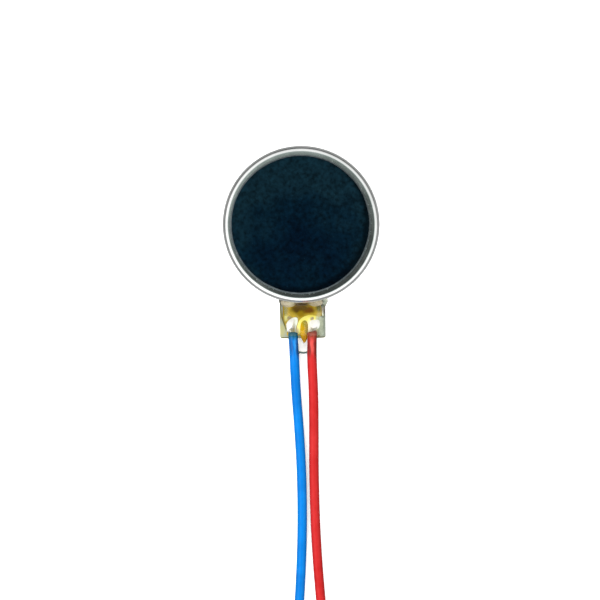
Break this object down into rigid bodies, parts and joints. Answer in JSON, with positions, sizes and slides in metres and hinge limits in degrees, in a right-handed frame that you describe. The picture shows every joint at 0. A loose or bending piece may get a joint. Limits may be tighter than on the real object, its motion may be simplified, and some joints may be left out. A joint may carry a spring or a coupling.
{
  "type": "vibration coin motor",
  "caption": "Flat brushed coin motor that shakes by an off-centre rotor: steel can, foam pad on top, solder tab and a red and a blue lead.",
  "frame": {"origin": "the spin axis, on the underside of the base plate, which lies on the surface", "axes": "+Z along the spin axis towards the mounting pad, -Y along the solder tab and the leads, +X on the red lead's side"},
  "size_m": [0.01, 0.0439, 0.0031],
  "materials": {
    "stainless_case": "drawn, polished",
    "base_steel": "rolled, satin",
    "shaft_steel": "ground",
    "ring_magnet": "epoxy coated",
    "magnet_bond": "cured adhesive",
    "polyimide": "amber film",
    "copper": "rolled foil",
    "brush_alloy": "precious metal alloy",
    "solder": "bright, reflowed",
    "washer_plastic": "punched film",
    "sintered_bronze": "oil-filled sinter",
    "rotor_resin": "moulded",
    "magnet_wire": "enamelled copper",
    "tungsten": "sintered",
    "circuit_board": "solder mask",
    "gold_plating": "plated",
    "clear_glue": "clear, glossy",
    "foam": "matte closed-cell foam",
    "adhesive_film": "tacky film",
    "red_insulation": "extruded, semi-gloss",
    "blue_insulation": "extruded, semi-gloss",
    "tinned_copper": "tinned strands"
  },
  "bodies": {
    "motor": {"case_cap": "stainless_case", "base_plate": "base_steel", "shaft": "shaft_steel", "magnet_bond": "magnet_bond", "ring_magnet": "ring_magnet", "flex_circuit": "polyimide", "flex_trace_positive": "copper", "flex_trace_negative": "copper", "brush_positive": "brush_alloy", "brush_negative": "brush_alloy", "brush_solder_positive": "solder", "brush_solder_negative": "solder", "lower_thrust_washer": "washer_plastic", "upper_thrust_washer": "washer_plastic", "lead_solder_positive": "solder", "lead_solder_negative": "solder", "terminal_glue": "clear_glue", "pad_adhesive_lower": "adhesive_film", "foam_pad": "foam", "pad_adhesive_upper": "foam", "red_lead": "red_insulation", "blue_lead": "blue_insulation", "red_core": "tinned_copper", "blue_core": "tinned_copper"},
    "rotor": {"bearing_bush": "sintered_bronze", "commutator_board": "circuit_board", "coil_left": "magnet_wire", "coil_right": "magnet_wire", "eccentric_weight": "tungsten", "rotor_holder": "rotor_resin", "commutator_segment_1": "gold_plating", "commutator_segment_2": "gold_plating", "commutator_segment_3": "gold_plating", "commutator_segment_4": "gold_plating", "commutator_segment_5": "gold_plating", "commutator_segment_6": "gold_plating"}
  },
  "joints": [
    {"name": "rotor_spin", "type": "hinge", "parent": "motor", "child": "rotor", "pos_m": [0, 0, 0.0015], "axis": [0, 0, 1], "continuous": true}
  ]
}
